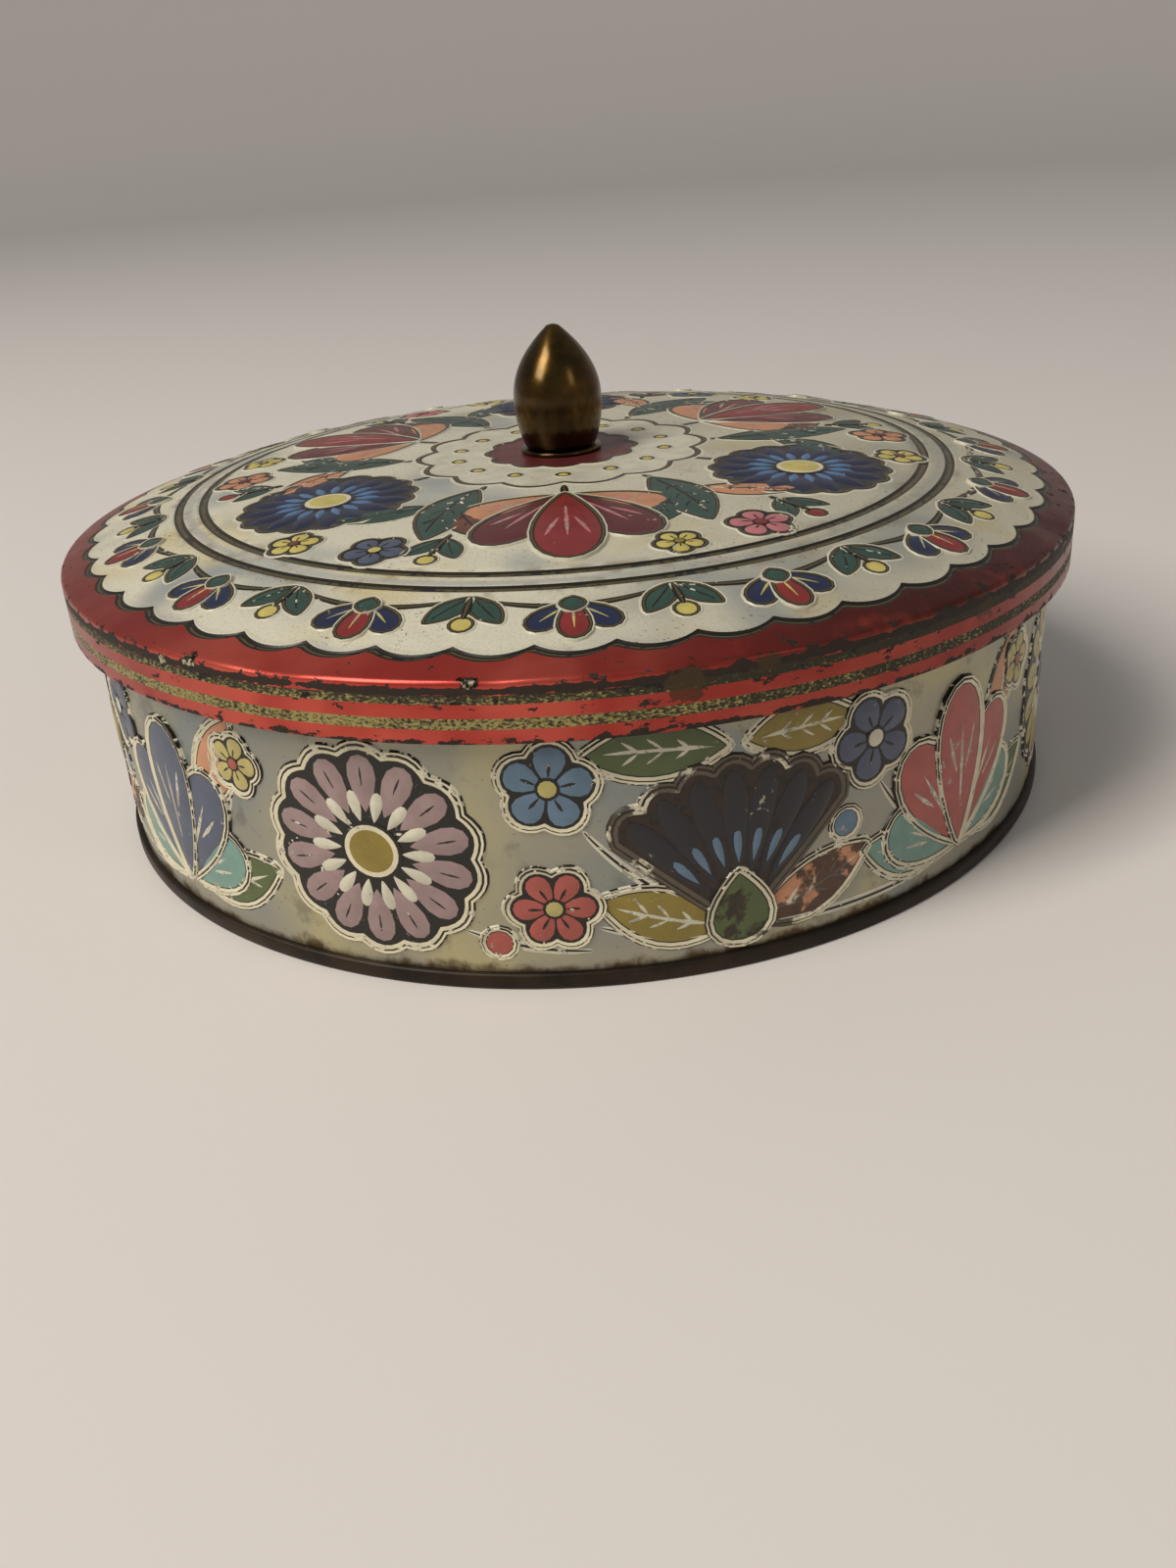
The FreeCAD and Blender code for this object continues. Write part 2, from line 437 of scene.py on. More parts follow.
def worn_spots(coat, colour):
    """Chips with a little bare tin in the middle, and brown stains across the stripes."""
    for bearing, below, size in chips_at:
        colour = coat.mix(spot(coat, bearing, below, size), colour, INK)
        flecks = coat.grain(1100, 3, bearing).between(0.50, 0.58) * spot(coat, bearing, below, size * 0.8)
        colour = coat.mix(flecks, colour, paint(176, 164, 134))
    for bearing, below, size in stains_at:
        colour = coat.mix(spot(coat, bearing, below, size) * 0.8, colour, paint(66, 48, 26))
    return colour


print(len(chips_at), "chips and", len(stains_at), "stains on the skirt")

# %% [markdown]
# ### The two lacquers
# Lacquer chips where a grain, raised near the edges, passes a limit. A sharp limit gives hard-edged chips
# for the red, and a soft one gives the gilt its tarnish.

# %% Lacquers


def red_lacquer():
    """Red over bright tin, with a painted shade on the right side that is broken up like soil, most on top of
    the rim, and more painted shade at the left and right sides. Chips are noise plus wear, cut off sharply,
    and long in the way that the edges run."""
    coat = Finish("red_lacquer")
    colour = coat.blotched(paint(170, 56, 46), paint(200, 86, 70), 0.35, 0.65, 40, 3)
    upper = coat.along(2).between((rim_top - 2.5) * MM, rim_top * MM)
    # painted shade on the right side, broken by noise like soil, strongest on top of the rim
    shade_and_soil = right_shade_and_wear(coat) * coat.grain(130, 5, 1.2).between(0.05, 0.50) * upper.blend(0.45, 0.92)
    colour = coat.mix(shade_and_soil, colour, paint(56, 22, 16))
    # painted shade: the red darkens at the left and right sides
    colour = coat.mix(side_shade(coat) * 0.6, colour, paint(92, 20, 18))
    worn = coat.grain(340, 6, stretch=(1, 1, 2)) + edge_wear(coat) * 0.17
    worn = worn + coat.grain(30, 2, 7.7) * 0.12 + right_shade_and_wear(coat) * 0.035
    chips = worn.between(0.715, 0.735)
    colour = worn_spots(coat, coat.mix(chips, colour, coat.mix(coat.grain(900, 3), RUST, INK)))
    coat.bump(coat.grain(75, 2, 2.9) * 6.0 + coat.grain(300, 3) - chips, 0.05, 0.6)
    gloss = coat.grain(220, 4).blend(0.20, 0.40)
    return coat.look(base_color=colour, metallic=chips.blend(0.62, 0.25), roughness=chips.blend(gloss, 0.65))


def gilt_stripe():
    """Gilt lacquer: fine tarnish all over, more of it on the right side, where a painted shade darkens it
    too, and a few larger chips.
    """
    coat = Finish("gilt_stripe")
    tarnish = coat.grain(1500, 4, stretch=(1, 1, 1.8)) + edge_wear(coat) * 0.2
    # more tarnish to the right: partly real wear, partly painted shade on that side
    tarnish = tarnish + coat.grain(60, 3, 4.0) * 0.35 + right_shade_and_wear(coat) * 0.13
    dark = tarnish.between(0.58, 0.80)
    chips = (coat.grain(300, 5, 9.0) + edge_wear(coat) * 0.12).between(0.66, 0.69)
    colour = coat.mix(dark, paint(166, 154, 98), paint(50, 44, 26))
    colour = worn_spots(coat, coat.mix(chips, colour, INK))
    coat.bump(dark, 0.04, 0.4)
    return coat.look(base_color=colour, metallic=dark.blend(0.75, 0.3), roughness=dark.blend(0.34, 0.62))


red = red_lacquer()
gilt = gilt_stripe()
print("nodes in the red and the gilt:", len(red.node_tree.nodes), len(gilt.node_tree.nodes))

# %% [markdown]
# ## The printed colours
# Each face of the relief carries its colour, the colour that shows where it has flaked, how much it flakes,
# and how far it has rusted. One finish reads those four values, so a hundred petals need no hundred
# materials.

# %% Printed enamel


def printed_enamel():
    """A face's own colour in two depths. Where a grain passes a limit that falls with flake, the colour
    under it shows, and where another passes one that falls with rust, it turns brown."""
    coat = Finish("printed_enamel")
    tint = coat.carried("tint", "Color")
    colour = coat.mix(coat.grain(260, 3).between(0.25, 0.75), coat.mix(0.22, tint, INK), tint)
    broken = coat.grain(620, 5) + coat.grain(90, 2, 6.0) * 0.5 + coat.carried("flake") * 0.5
    colour = coat.mix(broken.between(0.99, 1.015), colour, coat.carried("under", "Color"))
    spread = coat.grain(75, 6, 8.0) + coat.grain(800, 3) * 0.15 + coat.carried("rust") * 0.6
    rusted = spread.between(0.93, 0.98)
    brown = coat.blotched(RUST, INK, 0.40, 0.65, 700, 4, 2.0)
    colour = coat.mix(rusted, colour, coat.mix(0.10, brown, tint))
    coat.bump(coat.grain(600, 4) + rusted, 0.05, 0.4)
    gloss = coat.grain(200, 4, 1.0).blend(0.24, 0.46)
    return coat.look(base_color=colour, roughness=rusted.blend(gloss, 0.50))


enamel = printed_enamel()
print("nodes in the enamel:", len(enamel.node_tree.nodes))

# %% [markdown]
# ## Bare metals
# The inside is plain tinplate, the seam round the foot has gone brown, and the knob is brass under a dark
# bronze lacquer that has rubbed thin where fingers hold it. They differ in tone and gloss only, so one
# function makes all.

# %% Metals


def metal(name, light, dark, spots, gloss, rough, shine=1.0, lacquer=0.0):
    """Two tones of one metal, with spots of rust from none at 0 to many at 1, and a clear lacquer over it."""
    coat = Finish(name)
    rusted = coat.grain(320, 6, 3.0).between(0.80 - 0.3 * spots, 0.84 - 0.3 * spots)
    colour = coat.mix(rusted, coat.blotched(light, dark, 0.35, 0.68, 70, 5), RUST)
    sheen = coat.grain(240, 4, 1.5).blend(gloss, rough)
    coat.bump(coat.grain(500, 4) + rusted, 0.03, 0.4)
    return coat.look(base_color=colour, metallic=rusted.blend(shine, 0.2), coat_weight=lacquer,
                     coat_roughness=0.15, roughness=rusted.blend(sheen, 0.75))


inside_tin = metal("inside_tin", paint(190, 186, 174), paint(172, 166, 150), 0.22, 0.28, 0.42)
seam_brown = metal("seam_brown", paint(54, 42, 29), paint(29, 22, 16), 0.45, 0.36, 0.60, 0.6)
knob_bronze = metal("knob_bronze", paint(104, 78, 30), paint(50, 36, 13), 0.0, 0.19, 0.29, lacquer=0.25)
screw_steel = metal("screw_steel", paint(150, 146, 138), paint(116, 110, 100), 0.2, 0.28, 0.50)
for name in ("knob_screw", "screw_washer", "knob_bush"):
    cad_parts[name].data.materials.clear()
    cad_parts[name].data.materials.append(screw_steel)
print("finishes:", len(bpy.data.materials))

# %% [markdown]
# ## The lid
# The lid is one pressed sheet: a dome, a rim bent over a small radius, a skirt and a hem folded flat
# inside. A lathe profile would do for the sheet, but the cream field has a scalloped edge, so the rings
# near it breathe in and out with the angle. The dome comes first, because the print needs it too.

# %% The dome
scallop_count = 48
scallop_steps = 12  # columns of the mesh in each scallop
scallop_valley = 93.9  # radius of the valleys between the scallops
scallop_arc = 10.3  # radius of a scallop's own arc
lid_columns = scallop_count * scallop_steps
turn = 2 * np.pi * np.arange(lid_columns) / lid_columns - np.pi / 2


def crown(radius):
    """Height of the lid's outer face: the seat less a power of the radius, flat on top."""
    return seat_height - crown_rise * (radius / lid_radius) ** crown_power


def crown_slope(radius):
    """How fast the dome falls with the radius."""
    return -crown_rise * crown_power / lid_radius * (radius / lid_radius) ** (crown_power - 1)


def scallop(angle):
    """How far a scallop stands out from its valleys: circular arcs, side by side."""
    half_pitch = np.pi * scallop_valley / scallop_count
    across = (np.mod(angle * scallop_count / (2 * np.pi) + 0.5, 1) * 2 - 1) * half_pitch
    return np.sqrt(scallop_arc ** 2 - across ** 2) - math.sqrt(scallop_arc ** 2 - half_pitch ** 2)


print(f"scallops stand out by {scallop(turn).max():.2f} mm")

# %% [markdown]
# ### Rings over the top
# Two ring lines are pressed into the top: a dark groove with an olive floor and a cream lip. The scalloped
# edge is a like groove. Each is a short profile, and each band between two rows has its own finish, so the
# stripes are sharp without a texture.

# %% Rings over the top of the lid
CREAM_FACE, INK_FACE, OLIVE_FACE, RED_FACE, GILT_FACE, TIN_FACE = range(6)
# Profile of a ring line: how far out, height over the dome, finish of the band that ends there.
ring_groove = [(-0.4, -0.17, INK_FACE), (0.0, -0.20, INK_FACE), (0.75, -0.18, OLIVE_FACE),
               (1.25, -0.02, INK_FACE), (1.55, 0.13, CREAM_FACE), (2.0, 0.02, CREAM_FACE)]
# Profile of the scalloped edge: how far out, how far it slips round, height over the dome, finish.
scallop_edge = [(-0.5, 0, 0.02, CREAM_FACE), (-0.2, 0, 0.13, CREAM_FACE), (0.0, 0, 0.10, CREAM_FACE),
                (0.2, 0.1, -0.12, INK_FACE), (0.6, 0.3, -0.15, INK_FACE), (0.9, 0.5, -0.12, OLIVE_FACE),
                (1.35, 0.7, 0.0, INK_FACE)]
scallop_start = 87.0  # inside this radius the rings are round
scallop_fade = 5.0  # the red loses the scallop over this distance
ring_margin = 0.6  # between plain rings and a groove


def top_rings():
    """Rings from the screw hole to the rim: radius, share of the scallop, slip round, height, and the
    finish of the band that ends there."""
    plain = np.linspace(hole_radius, field_ring - ring_margin, 34)
    rings = [(radius, 0, 0, 0, CREAM_FACE) for radius in plain]
    for line, last in ((field_ring, border_ring - ring_margin), (border_ring, scallop_start)):
        rings += [(line + out, 0, 0, height, finish) for out, height, finish in ring_groove]
        rings += [(radius, 0, 0, 0, CREAM_FACE) for radius in np.linspace(line + 2.5, last, 5)]
    for share in (0.2, 0.45, 0.7, 0.9):
        radius = scallop_start + (scallop_valley - ring_margin - scallop_start) * share
        rings.append((radius, share, 0, 0, CREAM_FACE))
    rings += [(scallop_valley + out, 1, slip, height, finish) for out, slip, height, finish in scallop_edge]
    edge_out, edge_slip = scallop_edge[-1][:2]
    for share in (0.85, 0.6, 0.35, 0.15, 0):
        radius = scallop_valley + edge_out + scallop_fade * (1 - share)
        rings.append((radius, share, edge_slip, 0, RED_FACE))
    return rings


print(len(top_rings()), "rings over the top of the lid")

# %% [markdown]
# ### The whole sheet, with its knocks
# From the rim the rows go down the skirt, round the hem and back along the underside, so the sheet has its
# true thickness. An old lid has been dropped. Each knock is a smooth hollow: a bell curve round a point of
# the rim pushes the sheet in and down. Both faces of the sheet move alike, so its thickness stays.

# %% Finished lid
rim_bend = 1.1  # outer radius of the rim's bend
hem_height = 3.0
first_stripe = 0.206  # where the first gilt stripe starts, as a share of the skirt's depth
# Stripes: where each ends, as such a share, and its finish.
skirt_stripes = [(0.355, GILT_FACE), (0.578, RED_FACE), (0.753, GILT_FACE), (0.97, RED_FACE)]
underside_edge = 96.0  # where the underside meets the inside of the rim's bend
# Knocks: bearing in degrees, depth, width.
knocks = [(-118, 0.55, 7.0), (-97, 0.30, 4.0), (-66, 0.50, 6.0), (-30, 0.35, 5.0), (40, 0.5, 8.0),
          (150, 0.45, 6.0)]
knock_inset = 1.5  # a knock's middle lies this far in from the rim
knock_inward, knock_down = 0.6, 0.8


def lid_rows():
    """Rows of (radius, height) for the whole lid: over the top, round the rim, down the skirt, round the
    hem and back along the underside. Also the finish of the band that ends at each row."""
    runs = []
    for radius, share, slip, height, finish in top_rings():
        wavy = radius + share * scallop(turn + slip / scallop_valley)
        runs.append((finish, [(wavy, crown(wavy) + height)]))
    tilt = math.atan(-crown_slope(lid_radius))
    middle = lid_radius - rim_bend
    level = crown(middle + rim_bend * math.sin(tilt)) - rim_bend * math.cos(tilt)
    runs.append((RED_FACE, arc(middle, level, rim_bend, np.linspace(np.pi / 2 - tilt, 0, 8))))
    depth = rim_top - skirt_low
    high = rim_top - first_stripe * depth
    runs.append((RED_FACE, [(lid_radius, high)]))
    for share, finish in skirt_stripes:
        low = rim_top - share * depth
        runs.append((finish, [(lid_radius, height) for height in np.linspace(high, low, 4)[1:]]))
        high = low
    runs.append((RED_FACE, arc(lid_radius - tin, skirt_low + tin, tin, -np.linspace(0, np.pi, 7)[1:])))
    hem = lid_radius - 2 * tin
    hem_top = skirt_low + hem_height
    under = [(hem, hem_top - 0.1), (hem + tin / 2, hem_top), (hem + tin, hem_top - 0.1), (hem + tin, level)]
    under += arc(middle, level, rim_bend - tin, np.linspace(0, np.pi / 2 - tilt, 6)[1:])
    under += [(radius, crown(radius) - tin) for radius in np.linspace(underside_edge, hole_radius, 26)]
    runs.append((TIN_FACE, under))
    return [row for _, run in runs for row in run], [finish for finish, run in runs for _ in run]


def knocked(points):
    """Moves points inwards and down near each knock, by a bell curve of the distance to its middle."""
    moved = points.copy()
    for bearing, depth, width in knocks:
        across, along = math.cos(math.radians(bearing)), math.sin(math.radians(bearing))
        middle = np.array([across, along, 0]) * (lid_radius - knock_inset) + [0, 0, rim_top]
        share = depth * np.exp(-((points - middle) ** 2).sum(axis=-1) / width ** 2)
        moved -= share[..., None] * np.array([knock_inward * across, knock_inward * along, knock_down])
    return moved


rows, bands = lid_rows()
points, quads, row, _ = weave(knocked(spun(rows, turn)), close_rows=True)
finish = np.array(bands[1:] + bands[:1])[row]
labels = {"finish": finish, "tint": np.where((finish == OLIVE_FACE)[:, None], OLIVE, INK),
          "under": np.ones((len(quads), 4)) * INK,
          "flake": np.full(len(quads), 0.35), "rust": np.zeros(len(quads))}
add_piece("lid_sheet", "lid", [(points, quads, labels)],
          [cream, enamel, enamel, red, gilt, inside_tin], ["lid_shell"], sharp=50)

# %% [markdown]
# ## The wall
# The wall is a strip rolled into a drum. Its mouth is curled outwards into a bead, and its ends are hooked
# together at the back, where the fold stands proud inside. The section is carried round the drum, and near
# the fold the columns stand closer together.

# %% Wall with its curl and its lock seam
bead_radius = (bead_reach - (wall_radius - tin)) / 2
bead_middle, bead_level = wall_radius - tin + bead_radius, mouth_height - bead_radius
wall_steps = 24  # rows up the outside
printed_bead_steps = 6  # rows of the bead that still carry the print's ground
lock_seam_width = 4.5
seam_softness = 0.12  # how gently the fold's sides rise
groove_depth, groove_width = 0.12, 0.25  # hairline that the fold leaves outside
seam_room = 3.2  # closer columns, to each side of the fold
fold_from, fold_to = 1.0, 3.0  # above the base panel, below the bead's middle


def from_back(angles):
    """Way round the wall from the middle of the back, negative on one side."""
    return (np.mod(angles - np.pi / 2 + np.pi, 2 * np.pi) - np.pi) * wall_radius


def lock_seam(angles):
    """1 on the folded seam at the back, falling to 0 at its sides along an S-curve."""
    away = np.abs(from_back(angles)) - lock_seam_width / 2
    return 1 / (1 + np.exp(np.minimum(away / seam_softness, 100)))


def wall_rows(angles):
    """Rows of (radius, height): up the outside, round the bead and down the inside. A bell curve cuts the
    hairline outside, and inside the fold stands proud by two sheets."""
    groove = groove_depth * np.exp(-((from_back(angles) - lock_seam_width / 2) / groove_width) ** 2)
    heights = np.linspace(wall_low, bead_level - bead_radius, wall_steps)
    rows = [(wall_radius - groove, height) for height in heights]
    lower = math.asin((bead_middle - wall_radius) / bead_radius)
    rows += arc(bead_middle, bead_level, bead_radius, np.linspace(-np.pi / 2 - lower, np.pi, 22))
    inside = wall_radius - tin
    proud = inside - 2 * tin * lock_seam(angles)
    foot = panel_top + fold_from
    rows += [(proud, height) for height in np.linspace(bead_level - fold_to, foot, 8)]
    return rows + [(inside, foot - 0.3), (inside, wall_low)]


around = np.linspace(-np.pi / 2, 1.5 * np.pi, 480, endpoint=False)
around = around[np.abs(around - np.pi / 2) > (seam_room + 0.1) / wall_radius]
near_seam = np.pi / 2 + np.linspace(-seam_room, seam_room, 60) / wall_radius
around = np.unique(np.concatenate([around, near_seam]))
points, quads, row, _ = weave(spun(wall_rows(around), around), close_rows=True)
labels = {"finish": np.where(row < wall_steps + printed_bead_steps, 0, 1)}
add_piece("wall_sheet", "box", [(points, quads, labels)],
          [silver, inside_tin], ["body_wall"], sharp=50)

# %% [markdown]
# ## The base
# The base is a shallow pan. Its edge goes down, under the wall and up outside, and is rolled tight into the
# seam that the tin stands on. The wall's edge sits in the slot of that section. The folded layers can't be
# seen, so the section is drawn as one.

# %% Base with its rolled seam
slot_room = 0.04
slot_inside, slot_outside = wall_radius - tin - slot_room, wall_radius + slot_room
slot_low = wall_low - slot_room
foot_radius = wall_radius - 4 * tin
panel_low = panel_top - tin
seam_top = 2.9
base_rows = [
    (0, panel_low), (foot_radius - 0.6, panel_low), (foot_radius - 0.15, panel_low - 0.15),
    (foot_radius, panel_low - 0.5), (foot_radius, 0.45), (foot_radius + 0.15, 0.13), (foot_radius + 0.5, 0),
    (seam_radius - 0.5, 0), (seam_radius - 0.15, 0.13), (seam_radius, 0.5), (seam_radius, seam_top - 0.55),
    (seam_radius - 0.12, seam_top - 0.2), (seam_radius - 0.4, seam_top), (slot_outside, seam_top),
    (slot_outside, slot_low), (slot_inside, slot_low), (slot_inside, panel_top), (0, panel_top),
]
points, quads, row, _ = weave(spun(base_rows, np.linspace(0, 2 * np.pi, 360, endpoint=False)))
labels = {"finish": np.where(row >= len(base_rows) - 2, 1, 0)}
add_piece("base_pan", "box", [(points, quads, labels)],
          [seam_brown, inside_tin], ["base_plate"], sharp=50)

# %% [markdown]
# ## The knob
# A turned knob swells from its foot to its widest part in one arc and then draws in to a small blunt tip,
# fuller than a cone and slimmer than an egg. A power of the height gives that upper curve. The knob stands
# on a thin ring.

# %% Knob and ring
knob_widest = 9.3  # foot to the widest part
knob_base_radius = 7.15
knob_tip_radius = 0.9
knob_draw = 2.15  # a higher power keeps the knob full for longer
tip_rows = [(0.85, 0.16), (0.6, 0.07), (0.3, 0.02), (0, 0)]  # radius, below the tip
tip_length = 0.26
print_room = 0.12  # the ring stands this far above its seat, clear of the print


def ogive(height):
    """Radius of the knob at a height above its foot: a circle's arc below the widest part, and above it a
    fall that grows with a power of the way to the tip."""
    fall = knob_reach - knob_base_radius
    size = (fall ** 2 + knob_widest ** 2) / (2 * fall)
    below = np.minimum(height - knob_widest, 0)
    way = np.maximum(height - knob_widest, 0) / (knob_tip - knob_foot - knob_widest)
    drawn_in = (knob_reach - knob_tip_radius) * way ** knob_draw
    return knob_reach - size + np.sqrt(size ** 2 - below ** 2) - drawn_in


small_turn = np.linspace(0, 2 * np.pi, 128, endpoint=False)
climb = (knob_tip - knob_foot - tip_length) * np.sin(np.linspace(0, np.pi / 2, 64))
knob_rows = [(0, knob_foot), (knob_base_radius - 0.35, knob_foot)]
knob_rows += [(float(ogive(height)), knob_foot + height) for height in climb[1:]]
knob_rows += [(radius, knob_tip - below) for radius, below in tip_rows]
points, quads, _, _ = weave(spun(knob_rows, small_turn))
add_piece("knob", "knob", [(points, quads, {})], [knob_bronze], ["knob_shell"])
ring_low = collar_low + print_room
half_ring = (collar_high - ring_low) / 2
ring_rows = [(hole_radius, ring_low)]
outer_half = np.linspace(-0.5 * np.pi, 0.5 * np.pi, 12)
ring_rows += arc(collar_radius - half_ring, ring_low + half_ring, half_ring, outer_half)
ring_rows.append((hole_radius, collar_high))
points, quads, _, _ = weave(spun(ring_rows, small_turn), close_rows=True)
add_piece("knob_ring", "knob", [(points, quads, {})], [knob_bronze], ["knob_collar"])

# %% [markdown]
# ## The embossed print
# Flowers and leaves are printed on the flat sheet and then pressed, so each has a pillowed fill inside
# raised lines. A texture could only paint that. Here each petal is a small closed shell: an outline, rings
# shrunk towards its heart, bands grown outwards for the lines, and a foot sunk in the sheet. First come the
# outlines.

# %% Outlines of petals and leaves


def steps_round(count):
    """Angles of that many even steps round a circle."""
    return 2 * np.pi * np.arange(count) / count


def blade(length, width, count=16):
    """Leaf or pointed petal with its root at the origin: its half width is a parabola along its length."""
    angle = steps_round(count)
    half_width = width / 2 * np.sin(angle) * np.abs(np.sin(angle))
    return np.stack([length / 2 * (1 - np.cos(angle)), half_width], axis=-1)


def drop(length, width, count=16):
    """Petal with a pointed root and a round end: a blade's outline times the sine of half the angle."""
    angle = steps_round(count)
    half_width = width / 1.54 * np.sin(angle) * np.abs(np.sin(angle / 2))
    return np.stack([length / 2 * (1 - np.cos(angle)), half_width], axis=-1)


def lobed(radius, lobes, depth, count=48):
    """Disc with a scalloped edge: the radius drops by depth at each valley, as the size of a cosine does."""
    angle = steps_round(count)
    edge = radius - depth * (1 - np.abs(np.cos(lobes * angle / 2)))
    return np.stack([edge * np.cos(angle), edge * np.sin(angle)], axis=-1)


def fan(radius, spread, lobes, depth, count=49):
    """Open fan from a narrow root at the origin: a scalloped arc closed by two straight sides."""
    share = np.linspace(0, 1, count)
    angle = math.radians(spread) * (share - 0.5)
    edge = radius - depth * (1 - np.abs(np.sin(np.pi * lobes * share)))
    rim = np.stack([edge * np.cos(angle), edge * np.sin(angle)], axis=-1)
    sides = np.linspace(1, 0, 6)[1:, None]
    root = np.array([[-0.4, 0.0]])
    return np.concatenate([rim, rim[-1:] * sides + root * (1 - sides), rim[:1] * sides[::-1][1:]])


def bent(outline, bend):
    """Curves an outline sideways by bend at its far end, with the square of the way along it."""
    along = outline[:, 0] / outline[:, 0].max()
    return outline + np.stack([np.zeros_like(along), bend * along ** 2], axis=-1)


print("points in the outlines:", [len(outline) for outline in (drop(9, 4), lobed(9, 5, 1), fan(9, 90, 7, 1))])

# %% [markdown]
# ## Pressing an outline
# The lid's lines are olive with dark edges and a thin cream lip. The wall's are cream and broken black,
# worn away in places. A line is a band round the fill, so its width and height stay true however the petal
# is turned.

# %% Pressed reliefs
# A line's bands: how far out, height over the relief's edge, tone, how much it flakes.
LID_LINES = [(0.3, 0.05, INK, 0.1), (0.75, 0.11, OLIVE, 0.15), (1.05, 0.04, INK, 0.1),
             (1.4, 0.09, CREAM, 0.1), (1.7, 0.0, CREAM, 0.1)]
WALL_LINES = [(0.3, 0.0, INK, 0.12), (1.0, 0.18, CHALK, 0.08), (1.4, 0.03, INK, 0.33),
              (1.85, 0.14, CHALK, 0.18), (2.2, 0.0, INK, 0.42)]
sink = 0.12  # a relief's foot lies this far inside the sheet
skin = 0.03  # and the outer edge of its lines this far above it
pillow = 2.7  # a higher power gives a flatter fill with a rounder edge
wide_from = 8  # a relief of this size gets more rings
ring_spacing = 3
ring_crowding = 1.3  # above 1, the rings crowd towards the edge


def grown(outline, heart, width, radially):
    """The outline moved outwards by width, along its normals or straight away from its heart. The sign of the
    area tells which way the outline runs, and so which normal points out."""
    if radially:
        way = outline - heart
    else:
        along = np.roll(outline, -1, axis=0) - np.roll(outline, 1, axis=0)
        area = (outline[:, 0] * along[:, 1] - outline[:, 1] * along[:, 0]).sum()
        way = np.stack([along[:, 1], -along[:, 0]], axis=-1) * np.sign(area)
    return outline + width * way / np.maximum(np.linalg.norm(way, axis=1, keepdims=True), 1e-6)


def at_height(outline, height):
    """The outline as a row of points at one height."""
    return np.column_stack([outline, np.full(len(outline), height)])


def pressed(outline, heart, tone, lift, rise, lines=(), thin=1.0, flake=0.06, rust=0.0, radially=False,
            hole=0.0):
    """A relief as a grid of (x, y, height): from the heart, which rises over the edge, down to the edge,
    over the lines, into the sheet and closed below. A wide relief gets more rings, so that it follows a
    curved sheet. Each band between two rows has its tone, and how it flakes and rusts. With a hole, the last
    row is the first."""
    heart = np.array(heart, float)
    size = np.linalg.norm(outline - heart, axis=1).max()
    steps = 2 if size < wide_from else math.ceil(size / ring_spacing)
    shares = 1 - (1 - hole / size) * (1 - np.arange(steps + 1) / steps) ** ring_crowding
    rows = []
    for share in shares:
        rows.append(at_height(heart + (outline - heart) * share, lift + rise * (1 - share ** pillow)))
    bands = [(tone, flake, rust)] * steps
    edge = outline
    for width, height, line_tone, line_flake in lines:
        edge = grown(outline, heart, width * thin, radially)
        rows.append(at_height(edge, lift + height))
        bands.append((line_tone, line_flake, rust * 0.8))
    if lines:
        rows[-1][:, 2] = skin
    below = shares[::-1] if size >= wide_from else (1, 0)
    rows += [at_height(heart + (edge - heart) * share, -sink) for share in below]
    bands += [bands[-1]] * len(below)
    if hole:
        rows.append(rows[0])
        bands.append(bands[-1])
    return np.array(rows), bands


print("rows of a leaf on the lid:", len(pressed(blade(9, 4), (4, 0), INK, 0, 0.2, LID_LINES)[0]))

# %% [markdown]
# ## Placing and repeating
# A motif is a list of reliefs, built round the origin and growing along +X. Turning and moving the finished
# grids is simpler than building each petal in its place, and a whorl of petals is one petal, turned.

# %% Placing


def placed(motif, x, y, bearing):
    """Turns every relief of a motif by bearing, in degrees, and moves it to (x, y)."""
    cos, sin = math.cos(math.radians(bearing)), math.sin(math.radians(bearing))
    turned = np.array([[cos, sin, 0], [-sin, cos, 0], [0, 0, 1]])
    return [(grid @ turned + [x, y, 0], bands) for grid, bands in motif]


def whorl(motif, count, share=0.0):
    """Copies of a motif in even steps round the origin, begun at a share of a step."""
    return [part for step in range(count) for part in placed(motif, 0, 0, 360 / count * (step + share))]


def disc(x, y, radius, tone, lift, rise, count=12, **more):
    """A round relief."""
    grid, bands = pressed(lobed(radius, 1, 0, count), (0, 0), tone, lift, rise, radially=True, **more)
    return grid + [x, y, 0], bands


def berry(x, y, radius, tone, lines):
    """A small round berry with thin lines."""
    return [disc(x, y, radius, tone, 0.06, 0.18, lines=lines, thin=0.6)]


def stem(start, end, bow, width, tones, lift=0.0, count=18):
    """A raised strip along a parabola from start to end that bows sideways. Its section is edge, line, edge
    and a flat back in the sheet. Its width swells and falls as the square root of a sine."""
    share = np.linspace(0, 1, count)
    start, end = np.array(start, float), np.array(end, float)
    side = np.array([start[1] - end[1], end[0] - start[0]]) / np.linalg.norm(end - start)
    path = start + (end - start) * share[:, None] + side * (bow * 4 * share * (1 - share))[:, None]
    along = np.gradient(path, axis=0)
    across = np.stack([-along[:, 1], along[:, 0]], axis=-1) / np.linalg.norm(along, axis=1, keepdims=True)
    half = width / 2 * np.sqrt(np.sin(np.pi * share).clip(0)) + 1e-4
    half[[0, -1]] = 0
    offset = np.array([-1.0, -0.62, -0.3, 0.3, 0.62, 1.0, 1.0, -1.0])
    height = np.array([0.0, 0.07, 0.05, 0.05, 0.07, 0.0, -sink - lift, -sink - lift]) + lift
    flat = path[:, None, :] + across[:, None, :] * (half[:, None] * offset)[..., None]
    grid = np.concatenate([flat, np.broadcast_to(height[:, None], (count, 8, 1))], axis=-1)
    grid[[0, -1], :, 2] = lift - sink
    edge, core = tones
    return [(grid, [(tone, 0.2, 0.0) for tone in (edge, edge, core, edge, edge, edge, edge, edge)])]


